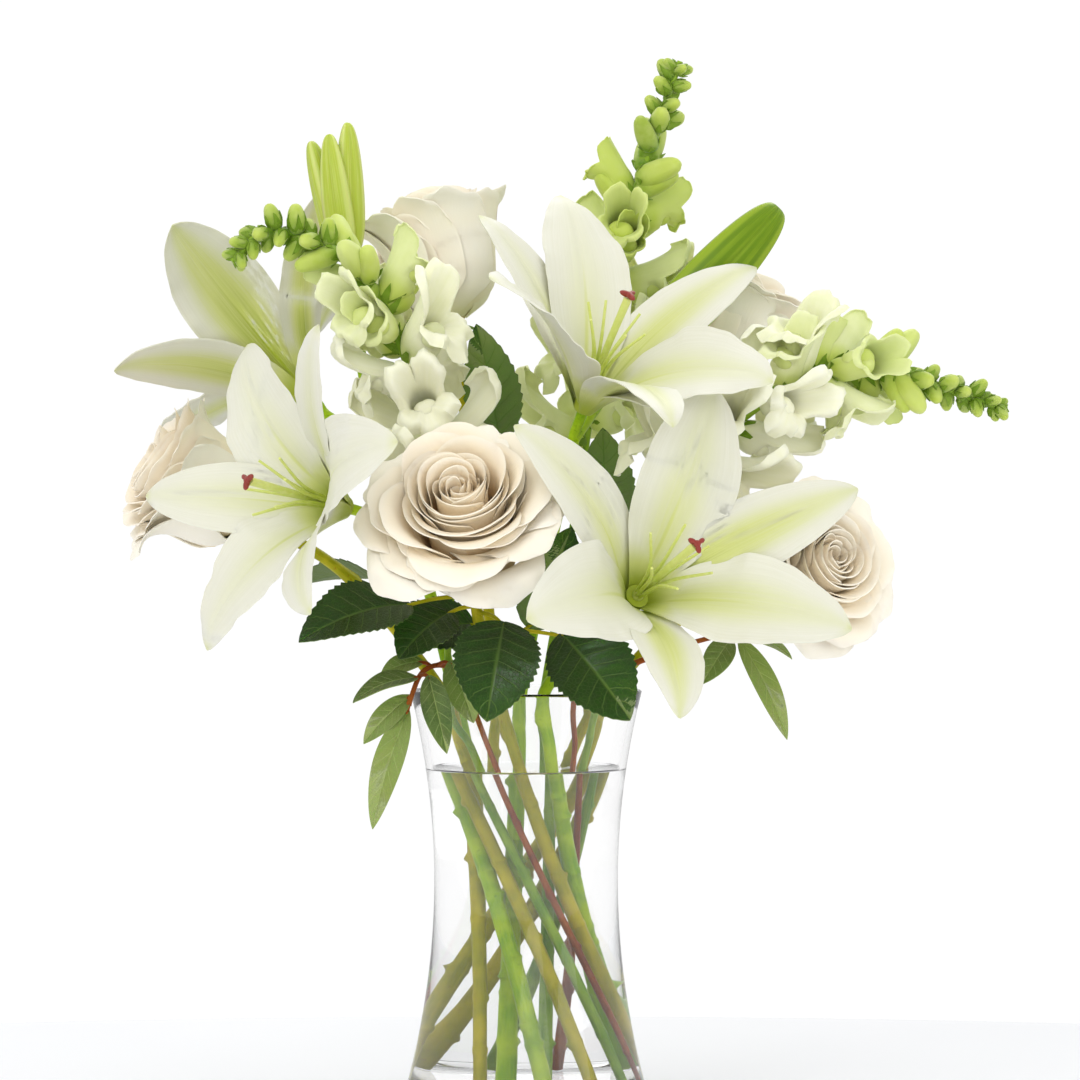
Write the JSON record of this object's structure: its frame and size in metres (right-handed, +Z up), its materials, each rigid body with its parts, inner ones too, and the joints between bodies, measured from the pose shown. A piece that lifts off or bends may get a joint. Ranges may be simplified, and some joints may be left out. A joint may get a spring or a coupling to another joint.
{
  "type": "lilies in a vase",
  "caption": "Bunch of white lilies, cream roses and snapdragons with rose leaves, standing in the water of a waisted clear glass vase.",
  "frame": {"origin": "centre of the vase's flat underside", "axes": "+Z up along the vase's axis; -Y is the front that the picture shows, +X is to its right"},
  "size_m": [0.4013, 0.2798, 0.477],
  "materials": {
    "glass": "clear polished",
    "water": "clear liquid",
    "rose_petal": "soft cream petal",
    "lily_petal": "waxy white petal",
    "lily_bud": "waxy green bud",
    "style": "waxy pale green",
    "stigma": "moist dark red",
    "snapdragon": "soft white florets and green buds",
    "lily_stem": "smooth green stem",
    "rose_green": "dark green stem and leaves",
    "sprig_green": "dull green leaves"
  },
  "bodies": {
    "root": {"rose_1_stem": "rose_green", "rose_1_bloom": "rose_petal", "rose_2_stem": "rose_green", "rose_2_bloom": "rose_petal", "rose_3_stem": "rose_green", "rose_3_bloom": "rose_petal", "rose_4_stem": "rose_green", "rose_4_bloom": "rose_petal", "rose_5_stem": "rose_green", "rose_5_bloom": "rose_petal", "lily_stem_left": "lily_stem", "lily_stem_middle": "lily_stem", "lily_stem_right": "lily_stem", "lily_1_bloom": "lily_petal", "lily_1_style": "style", "lily_1_stigma": "stigma", "lily_2_bloom": "lily_petal", "lily_2_style": "style", "lily_2_stigma": "stigma", "lily_3_bloom": "lily_petal", "lily_3_style": "style", "lily_3_stigma": "stigma", "lily_4_bloom": "lily_petal", "lily_4_style": "style", "lily_4_stigma": "stigma", "lily_bud_green": "lily_bud", "lily_bud_cluster": "lily_bud", "snapdragon_1": "snapdragon", "snapdragon_2": "snapdragon", "snapdragon_3": "snapdragon", "sprig_left": "sprig_green", "sprig_right": "sprig_green", "vase_glass": "glass", "water": "water"}
  },
  "joints": []
}
